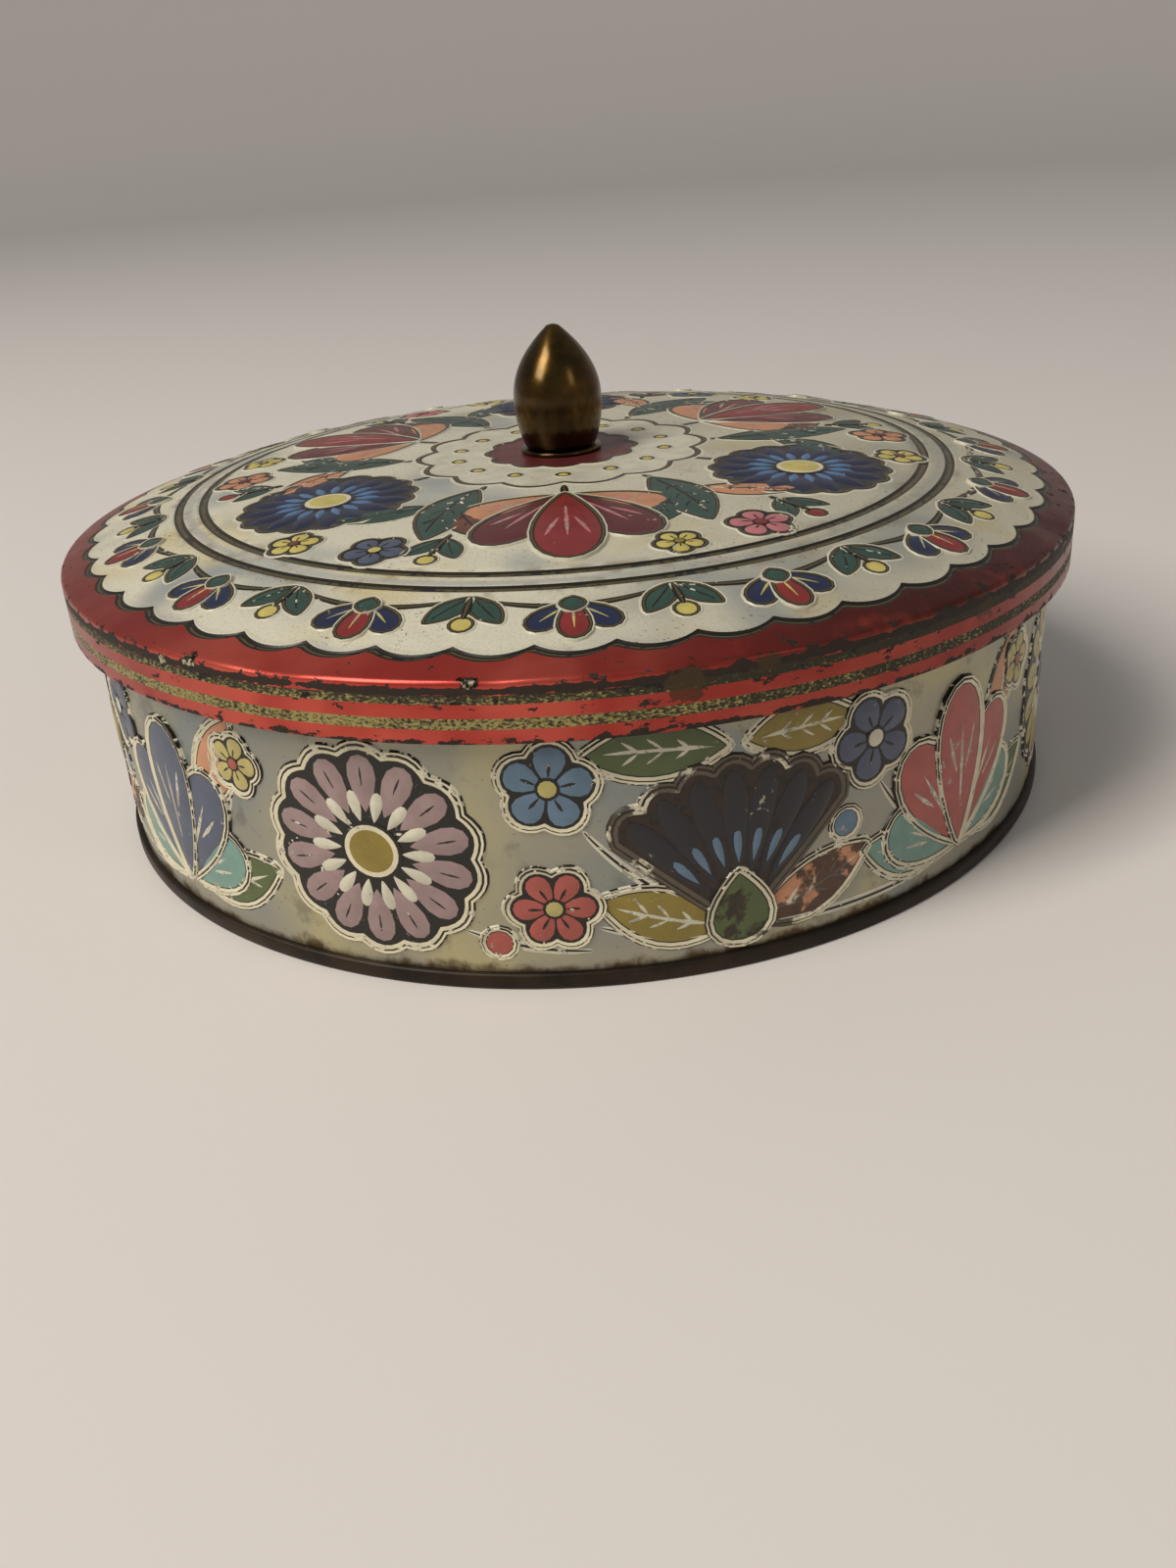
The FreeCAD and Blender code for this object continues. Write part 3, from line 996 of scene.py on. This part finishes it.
print("points in a stem:", stem((0, 0), (9, 0), 1, 1, (INK, OLIVE))[0][0].shape[:2])

# %% [markdown]
# ## Motifs
# Simple garden shapes are enough: a leaf with its veins, a round many-petalled flower, a palmette, a fan
# like a carnation, a star. Sizes inside a motif are shares of its length or radius, so that it can be made
# in any size.

# %% Leaf and palmette
FIVE_DROPS = ((62, 0.66), (31, 0.86), (0, 1.0))  # bearing to both sides, share of the length
THREE_DROPS = ((48, 0.92), (0, 0.92))
fine_from = 12  # a motif longer than this gets fine strokes
vein_lean, stroke_lean = 36, 17


def leaf(length, width, bend, tone, lines, lift=0.05, veins=INK, thin=0.75, rust=0.0):
    """A blade with a midrib that curves alike, and with three pairs of side veins if it is long."""
    fill = bent(blade(length, width, 28), bend)
    motif = [pressed(fill, (length / 2, bend / 4), tone, lift, 0.22, lines, thin, rust=rust)]
    rib = bent(blade(length * 0.8, width * 0.13, 12), bend * 0.64) + [length * 0.08, 0]
    motif.append(pressed(rib, (length * 0.48, bend * 0.2), veins, lift + 0.18, 0.05, flake=0.3, rust=rust))
    for share in (0.26, 0.44, 0.62) if length > fine_from else ():
        out = 1.7 * width * share * (1 - share)
        vein = blade(out, width * 0.07, 8)
        vein = pressed(vein, (out / 2, 0), veins, lift + 0.20, 0.03, flake=0.3, rust=rust)
        way = math.degrees(math.atan(2 * bend * share / length))
        for lean in (vein_lean, -vein_lean):
            motif += placed([vein], length * share, bend * share ** 2, way + lean)
    return motif


def palmette(length, width, tones, lines, lift=0.10, thin=0.8, count=24, spread=FIVE_DROPS):
    """Drops from one root in pairs, the middle one on top, with slim light strokes up each."""
    motif = []
    for level, (bearing, share) in enumerate(spread):
        long = length * share
        base = lift + 0.17 * level
        outline = drop(long, width * (0.75 + 0.25 * share), count)
        middle = blade(long * 0.55, width * 0.12, 10) + [long * 0.25, 0]
        heart = (long * 0.62, 0)
        side_stroke = blade(long * 0.32, width * 0.09, 8)
        side_stroke = pressed(side_stroke, (long * 0.16, 0), tones[-1], base + 0.18, 0.04, flake=0.4)
        for side in (-1, 1) if bearing else (1,):
            petal = [pressed(outline, heart, tones[level], base, 0.22, lines, thin)]
            petal.append(pressed(middle, heart, tones[-1], base + 0.18, 0.05, flake=0.4))
            leans = (side * stroke_lean,) if bearing else (stroke_lean, -stroke_lean)
            for lean in leans if length > fine_from else ():
                petal += placed([side_stroke], long * 0.42, math.copysign(length * 0.03, lean), lean)
            motif += placed(petal, 0, 0, side * bearing)
    return motif


print("reliefs in a leaf and a palmette:", len(leaf(20, 8, 1, MOSS, LID_LINES)),
      len(palmette(30, 11, (SALMON, MAROON, CRIMSON, PINK), LID_LINES)))

# %% [markdown]
# ### Flowers
# A flower is a dark scalloped plate that carries the outer lines, with petals, slim strokes and a button
# laid on it. Separate petals catch the light one by one, as the pressed ones do.

# %% Flowers


def round_flower(radius, petals, tone, inner_tone, heart_tone, lines, plate_tone, lift=0.10, rust=0.0,
                 shape=drop):
    """Petals of two lengths round a button that has a chalk ring."""
    plate = lobed(radius, petals, radius * 0.07, petals * 6)
    motif = [pressed(plate, (0, 0), plate_tone, lift, 0.02, lines, rust=rust, radially=True)]
    for share, start, stop, fill, tint in ((0, 0.40, 0.97, 0.92, tone), (0.5, 0.30, 0.62, 0.6, inner_tone)):
        width = 2 * np.pi * (start + stop) / 2 * radius / petals * fill
        petal = shape((stop - start) * radius, width, 14) + [start * radius, 0]
        heart = ((start + stop * 1.5) / 2.5 * radius, 0)
        motif += whorl([pressed(petal, heart, tint, lift + 0.02, 0.26, rust=rust * 0.9)], petals, share)
    stroke = blade(radius * 0.20, radius * 0.025, 8) + [radius * 0.66, 0]
    stroke = pressed(stroke, (radius * 0.76, 0), plate_tone, lift + 0.26, 0.03, flake=0.2, rust=rust)
    motif += whorl([stroke], petals)
    motif.append(disc(0, 0, radius * 0.31, plate_tone, lift + 0.10, 0.02, 24, rust=rust))
    motif.append(disc(0, 0, radius * 0.27, CHALK, lift + 0.13, 0.02, 24))
    motif.append(disc(0, 0, radius * 0.22, heart_tone, lift + 0.15, 0.14, 24))
    return motif


def carnation(radius, spread, tone, inner_tone, cup_tone, lines, lift=0.10, rust=0.0, petals=7):
    """Petals and as many slim rays on a scalloped fan, standing in a small cup."""
    plate = fan(radius, spread, petals, radius * 0.07)
    motif = [pressed(plate, (radius * 0.62, 0), INK, lift, 0.02, lines, rust=rust)]
    width = radius * 0.68 * math.radians(spread) / petals
    petal = drop(radius * 0.70, width, 16) + [radius * 0.27, 0]
    petal = pressed(petal, (radius * 0.75, 0), tone, lift + 0.06, 0.34, rust=rust * 0.5)
    ray = drop(radius * 0.30, width * 0.4, 12) + [radius * 0.38, 0]
    ray = pressed(ray, (radius * 0.6, 0), inner_tone, lift + 0.26, 0.12, rust=rust * 0.4)
    for bearing in np.linspace(-(petals // 2), petals // 2, petals) * spread / petals:
        motif += placed([petal, ray], 0, 0, bearing)
    cup = drop(radius * 0.44, radius * 0.34, 20) * [-1, 1] + [radius * 0.30, 0]
    cup = pressed(cup[::-1], (radius * 0.05, 0), cup_tone, lift + 0.16, 0.20, lines, 0.8, rust=rust * 0.5)
    return motif + [cup]


def star_flower(radius, tone, heart_tone, lines, lift=0.10, petals=5, rust=0.0):
    """Round petals about a button."""
    plate = lobed(radius, petals, radius * 0.22, petals * 8)
    motif = [pressed(plate, (0, 0), INK, lift, 0.02, lines, 0.75, rust=rust, radially=True)]
    width = 2 * np.pi * radius * 0.60 / petals * 0.9
    petal = drop(radius * 0.86, width, 14) + [radius * 0.10, 0]
    petal = pressed(petal, (radius * 0.62, 0), tone, lift + 0.02, 0.22, rust=rust)
    stroke = blade(radius * 0.42, radius * 0.08, 8) + [radius * 0.26, 0]
    stroke = pressed(stroke, (radius * 0.47, 0), INK, lift + 0.22, 0.03, flake=0.2, rust=rust)
    motif += whorl([petal, stroke], petals)
    motif.append(disc(0, 0, radius * 0.27, INK, lift + 0.16, 0.02, rust=rust))
    motif.append(disc(0, 0, radius * 0.20, heart_tone, lift + 0.18, 0.10))
    return motif


dahlia = round_flower(16.5, 16, NAVY, AZURE, GOLD, LID_LINES, DUSK, shape=blade)
print("reliefs in a dahlia:", len(dahlia))

# %% [markdown]
# ## Laying reliefs on the sheets
# A motif is flat until it is laid: on the lid along the dome's normal, and on the wall by wrapping its
# width round the drum. A modifier could bend it too, but a formula puts each point just where the sheet is,
# knocks and all.

# %% Laying


def on_lid(flat):
    """(x, y, height) to a point that stands off the dome by height, along its normal."""
    radius = np.maximum(np.hypot(flat[..., 0], flat[..., 1]), 1e-6)
    slope = crown_slope(radius)
    length = np.sqrt(1 + slope ** 2)
    outward = 1 - slope / length * flat[..., 2] / radius
    height = crown(radius) + flat[..., 2] / length
    return knocked(np.stack([flat[..., 0] * outward, flat[..., 1] * outward, height], axis=-1))


def on_wall(flat):
    """(way round from the front, height, relief) to a point that stands off the drum by the relief."""
    angle = flat[..., 0] / wall_radius - np.pi / 2
    radius = wall_radius + flat[..., 2]
    return np.stack([radius * np.cos(angle), radius * np.sin(angle), flat[..., 1]], axis=-1)


def laid(motif, surface, wear=0.0):
    """Closed shells of a motif, with the values that the printed enamel reads."""
    shells = []
    for grid, bands in motif:
        closed = np.array_equal(grid[0], grid[-1])
        points, quads, row, column = weave(surface(grid[:-1] if closed else grid), close_rows=closed)
        step = row if len(bands) == grid.shape[0] - 1 else column
        tint, flake, rust = (np.array(values)[step] for values in zip(*bands))
        under = np.array([CREAM if tone == INK else UNDERCOAT for tone, _, _ in bands])[step]
        labels = {"tint": tint, "under": under, "flake": np.clip(flake + wear, 0, 1),
                  "rust": np.clip(rust + wear * 0.5, 0, 1)}
        shells.append((points, quads, labels))
    return shells


print("faces of a laid dahlia:", sum(len(quads) for _, quads, _ in laid(dahlia, on_lid)))

# %% [markdown]
# ## Print on the lid
# A cream rosette with gold berries and a red one on top of it lie under the knob. They are rings, because
# the screw goes through them. Pressing them as whole discs and cutting the hole would leave ragged faces.

# %% Rosettes under the knob
screw_room = 3.0
berry_count, berry_ring = 14, 21.5
wide, small = lobed(29.0, 14, 2.6, 112), lobed(15.0, 12, 1.5, 96)
ringed = {"lines": LID_LINES, "radially": True, "hole": screw_room}
rosette = [pressed(wide, (0, 0), CREAM, 0.04, 0.0, thin=1.2, flake=0.05, **ringed),
           pressed(small, (0, 0), MAROON, 0.10, 0.0, thin=1.0, **ringed)]
for step in range(berry_count):
    angle = 2 * np.pi * (step + 0.5) / berry_count
    rosette += berry(berry_ring * math.cos(angle), berry_ring * math.sin(angle), 1.0, GOLD, LID_LINES)
add_piece("lid_rosette", "lid", laid(rosette, on_lid), [enamel])

# %% [markdown]
# ### The field
# Six flowers stand round the rosettes, dahlias and palmettes by turns, with sprays of leaves, shoots and
# stars in the gaps. A sixth of the field is laid out along +X and then turned. That is simpler than working
# out each place, and every other sixth can have another flower and other colours.

# %% Flowers and leaves of the field
LID_STEM = (INK, OLIVE)
sixths = 6
star_tones = [(PINK, CRIMSON), (SALMON, MAROON), (SLATE, GOLD)]
blossoms = []
foliage = []


def twin_leaves(foot, length, width, off, spread, thin):
    """Two leaves that part to both sides of +X, each rooted just off it."""
    pair = []
    for side in (1, -1):
        one = leaf(length, width, 2 * off * side, FOREST, LID_LINES, thin=thin)
        pair += placed(one, foot, off * side, spread * side)
    return pair


for step in range(sixths):
    odd = step % 2
    lean = 1 if odd else -1
    bearing = 360 / sixths * step - 90
    if odd:
        flower = placed(dahlia, 52, 0, 0)
        flower += placed(star_flower(4.6, GOLD, BROWN, LID_LINES), 66, 18, 10)
    else:
        flower = placed(palmette(32, 11.5, (SALMON, MAROON, CRIMSON, PINK), LID_LINES), 36.5, 0, 0)
        flower += placed(star_flower(4.2, GOLD, MUSTARD, LID_LINES), 64.4, 18.4, 0)
    blossoms += placed(flower, 0, 0, bearing)
    foliage += placed(stem((29, 0), (37, 0), 0, 1.6, LID_STEM), 0, 0, bearing)
    shoot = twin_leaves(59.5, 8.4, 3.4, 0.3, 27, 0.6)
    shoot += berry(68.2, 0, 1.5, CRIMSON if odd else GOLD, LID_LINES)
    shoot += stem((57, 0), (67.2, 0), 0, 1.4, LID_STEM, lift=0.20)
    foliage += placed(shoot, 0, 0, bearing - 20.5)
    spray = placed(leaf(27, 9.5, 4 * lean, FOREST, LID_LINES), 33, 0, 4 * lean)
    spray += placed(leaf(19, 7.0, 4, BROWN if odd else SALMON, LID_LINES, lift=0.02), 44, 3, 40)
    spray += placed(leaf(19, 7.0, -4, FOREST, LID_LINES, lift=0.02), 44, -3, -40)
    spray += stem((29.5, 0), (36, 0), 0.4, 1.6, LID_STEM)
    spray += stem((38, -2), (54, -13), 2, 1.4, LID_STEM) + stem((38, 2), (54, 13), -2, 1.4, LID_STEM)
    foliage += placed(spray, 0, 0, bearing + 30)
    star = placed(star_flower(5.6, *star_tones[step % 3], LID_LINES), 66, 0, 20)
    blossoms += placed(star, 0, 0, bearing + 30)
add_piece("lid_blossoms", "lid", laid(blossoms, on_lid), [enamel])
add_piece("lid_foliage", "lid", laid(foliage, on_lid), [enamel])

# %% [markdown]
# ### The border
# Between the outer ring line and the scallops runs a chain of low arches. A bud in a green cup stands on
# each, and a sprig with a berry grows from each joint. One arch and one sprig are made, and the rest are
# turned copies.

# %% Border of arches, buds and sprigs
arches = 16
arch_foot, arch_top = 81.0, 84.2
half_arch = math.radians(360 / arches / 2)
ends = [(arch_foot * math.cos(angle), arch_foot * math.sin(angle)) for angle in (-half_arch, half_arch)]
arch = stem(*ends, arch_foot * math.cos(half_arch) - arch_top, 1.6, LID_STEM, lift=0.04)
bud = palmette(9.8, 4.5, (NAVY, CRIMSON, GOLD), LID_LINES, 0.12, 0.65, count=16, spread=THREE_DROPS)
cup = pressed(blade(3.4, 3.4, 16), (1.7, 0), FOREST, 0.50, 0.12, LID_LINES, 0.6)
arch += placed(bud, 83.7, 0, 0) + placed([cup], 82.6, 0, 0)
sprig = twin_leaves(arch_foot, 8.6, 3.8, 0.4, 34, 0.65) + berry(88.4, 0, 1.6, GOLD, LID_LINES)
sprig += stem((arch_foot, 0), (87.2, 0), 0, 1.4, LID_STEM, lift=0.20)
border = []
for step in range(arches):
    border += placed(arch, 0, 0, 360 / arches * step - 90)
    border += placed(sprig, 0, 0, 360 / arches * (step + 0.5) - 90)
add_piece("lid_border", "lid", laid(border, on_lid), [enamel])

# %% [markdown]
# ## Print on the wall
# The frieze repeats four times round the drum: a round flower, a carnation and a palmette, with stars,
# leaves and berries between them. It is laid out flat, in millimetres along the wall and up it. The repeats
# differ in colour and in how far they have rusted.

# %% Frieze
WALL_STEM = (CREAM, INK)
# For each repeat: tones of the round flower, its heart, the carnation and the palmette, then the rust of the
# round flower and of the carnation.
schemes = [
    (MAUVE, MUSTARD, DUSK, CORAL, 0.0, 0.95),
    (BUTTER, SLATE, CORAL, MAUVE, 0.3, 0.2),
    (SLATE, BUTTER, SALMON, MAUVE, 0.75, 0.0),
    (CORAL, BUTTER, MUSTARD, SLATE, 0.0, 0.35),
]
# Stems: start, end, bow.
wall_stems = [((58, 30), (81, 10), -2), ((60, 11), (82, 7), -1), ((110, 28), (129, 10), -2),
              ((149, 31), (133, 10), 2), ((38, 11), (60, 6.5), -1), ((86, 7), (129, 6.5), -1)]
repeat = 2 * np.pi * wall_radius / len(schemes)
frieze_start = -60  # where the first repeat starts, from the front
over = 0.25  # flowers lie this far over the leaves
wall_blossoms = []
wall_foliage = []
for step, (first, heart, third, fourth, old_first, old_third) in enumerate(schemes):
    round_one = round_flower(17.8, 14, first, CREAM, heart, WALL_LINES, INK, over, old_first)
    blooms = placed(round_one, 24, 24.5, 12)
    blooms += placed(carnation(28, 92, third, SKY, MOSS, WALL_LINES, over, old_third), 84, 9, 92)
    blooms += placed(palmette(30, 11.5, (TEAL, fourth, fourth, CREAM), WALL_LINES, over), 131, 8.5, 92)
    for radius, tone, button, petals, rust, *place in (
        (7.4, SKY, BUTTER, 5, 0.0, 54, 36.5, 10), (7.0, CORAL, BUTTER, 6, 0.2 * step, 53.5, 15, 0),
        (7.6, SLATE, CREAM, 5, 0.0, 109, 35.5, 40), (5.0, BUTTER, CORAL, 5, 0.0, 151, 36, 0),
    ):
        blooms += placed(star_flower(radius, tone, button, WALL_LINES, over, petals, rust), *place)
    greens = []
    for length, width, bend, tone, rust, *place in (
        (22, 8.5, 2, MOSS, 0.35, 82, 40.5, 173), (19, 8, -2, MUSTARD, 0.0, 86, 40.5, 6),
        (21, 9, -2, MUSTARD, 0.0, 81, 8.5, 166), (22, 9, 3, SALMON, 0.55, 87, 8.5, 13),
        (20, 8.5, -2, TEAL, 0.1 * step, 127, 9, 168), (23, 9, 3, MOSS, 0.2, 135, 9, 13),
        (21, 8.5, 3, SALMON, 0.3, 139, 26, 48),
    ):
        greens += placed(leaf(length, width, bend, tone, WALL_LINES, veins=CREAM, rust=rust), *place)
    for start, end, bow in wall_stems:
        greens += stem(start, end, bow, 1.8, WALL_STEM)
    greens += berry(44, 8.5, 2.2, CORAL, WALL_LINES) + berry(103.5, 21.5, 2.3, SKY, WALL_LINES)
    wall_blossoms += placed(blooms, repeat * step + frieze_start, 0, 0)
    wall_foliage += placed(greens, repeat * step + frieze_start, 0, 0)
add_piece("wall_blossoms", "box", laid(wall_blossoms, on_wall, 0.03), [enamel])
add_piece("wall_foliage", "box", laid(wall_foliage, on_wall, 0.05), [enamel])

# %% [markdown]
# ## Floor and light
# A pale sweep has no corner behind the tin. One broad lamp above and to the left gives the soft light, a
# weaker one fills the right, and a dim room lights the rest. Several bare lamps would give hard shadows.

# %% Studio


def pale_sweep():
    """A round floor that curves up at its edge: one profile turned about the tin's axis. Weaving turns the
    faces outwards, so they are turned back to look up."""
    floor = [(0, 0), (1200, 0), (2200, 0)]
    edge = [(2500, 40), (2750, 180), (2900, 420), (2970, 720), (3000, 1200)]
    points, quads, _, _ = weave(spun(floor + edge, np.linspace(0, 2 * np.pi, 96, endpoint=False)))
    mesh = make_mesh("pale_sweep", [(points, quads[:, ::-1], {})], 40)
    mesh.materials.append(Finish("pale_floor").look(base_color=paint(226, 220, 214), roughness=0.9))
    sweep = bpy.data.objects.new("pale_sweep", mesh)
    bpy.context.scene.collection.objects.link(sweep)


def lamp(name, place, aim, size, power, colour):
    """A soft box, taller than it is wide, that looks from its place to its aim."""
    light = bpy.data.lights.new(name, "AREA")
    light.shape = "RECTANGLE"
    light.size = size
    light.size_y = size * 1.8
    light.energy = power
    light.color = colour
    holder = bpy.data.objects.new(name, light)
    bpy.context.scene.collection.objects.link(holder)
    holder.location = place
    holder.rotation_euler = (Vector(place) - Vector(aim)).to_track_quat("Z", "Y").to_euler()


pale_sweep()
lamp("broad_lamp", (-1.16, -0.80, 1.52), (0, 0, 0.05), 0.72, 36, (1.0, 0.95, 0.88))
lamp("fill_lamp", (1.8, -1.8, 1.4), (0, 0, 0.04), 0.55, 3.0, (1.0, 0.95, 0.84))
world = bpy.data.worlds.new("soft_room")
world.use_nodes = True
room = world.node_tree.nodes["Background"].inputs
room["Color"].default_value = (0.80, 0.82, 0.85, 1)
room["Strength"].default_value = 0.27
bpy.context.scene.world = world
bpy.context.scene.view_settings.view_transform = "Standard"
print("lamps:", len(bpy.data.lights))

# %% [markdown]
# ## Camera
# The camera stands where the picture was taken from. Its place and turn were measured, so its axes are
# worked out from three angles and put into its matrix, which leaves nothing to a tracking constraint.

# %% Camera
camera_place = (0.0, -285.33, 130.36)
camera_yaw, camera_pitch, camera_roll = np.radians([0.09, -26.46, -4.18])
focal_length, sensor_width = 31.5, 36


def camera_axes():
    """Right, up and forward of the camera: turned about +Z by yaw, tilted by pitch, then rolled."""
    level = math.cos(camera_pitch)
    forward = np.array([math.sin(camera_yaw) * level, math.cos(camera_yaw) * level, math.sin(camera_pitch)])
    right = np.array([math.cos(camera_yaw), -math.sin(camera_yaw), 0])
    up = np.cross(right, forward)
    rolled_right = math.cos(camera_roll) * right + math.sin(camera_roll) * up
    rolled_up = -math.sin(camera_roll) * right + math.cos(camera_roll) * up
    return rolled_right, rolled_up, forward


lens = bpy.data.cameras.new("camera")
lens.lens = focal_length
lens.sensor_width = sensor_width
lens.clip_start = 0.01
camera = bpy.data.objects.new("camera", lens)
bpy.context.scene.collection.objects.link(camera)
right, up, forward = camera_axes()
pose = np.eye(4)
pose[:3] = np.column_stack([right, up, -forward, np.array(camera_place) * MM])
camera.matrix_world = Matrix(pose.tolist())
bpy.context.scene.camera = camera
print("camera looks along", forward.round(3))

# %% [markdown]
